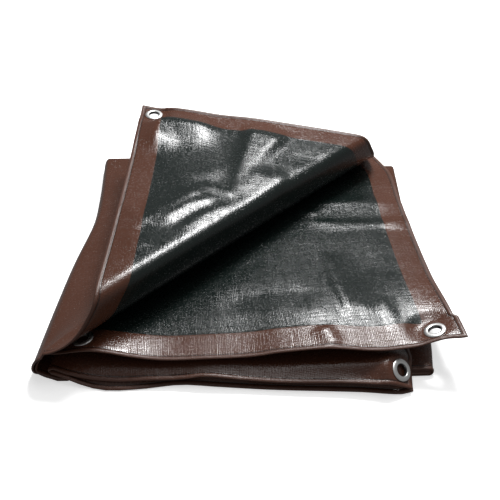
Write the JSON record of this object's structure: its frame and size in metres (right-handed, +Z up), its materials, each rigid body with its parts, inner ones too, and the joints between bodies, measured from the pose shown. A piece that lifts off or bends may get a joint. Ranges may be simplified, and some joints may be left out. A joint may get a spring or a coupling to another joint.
{
  "type": "folded poly tarp",
  "caption": "Folded woven poly tarp, brown outside and dark green inside, with hemmed edges, metal eyelets and a turned-back corner.",
  "frame": {"origin": "centre of the bounding box in plan, on the surface the pack rests on", "axes": "+Z up, front hems towards -Y, the two-layer turn on the left at -X, free ends and eyelets on the right at +X"},
  "size_m": [0.418, 0.4138, 0.1073],
  "materials": {
    "tarp_cloth": "woven polyethylene laminate, brown on one face and dark green on the other",
    "hem_cloth": "woven polyethylene laminate, brown",
    "eyelet_metal": "bright, rolled edges"
  },
  "bodies": {
    "root": {"tarp_sheet": "tarp_cloth", "hem_flap": "hem_cloth", "hem_top": "hem_cloth", "hem_lower": "hem_cloth", "eyelet_flap": "eyelet_metal", "eyelet_corner": "eyelet_metal", "eyelet_front": "eyelet_metal", "eyelet_lower": "eyelet_metal"}
  },
  "joints": []
}
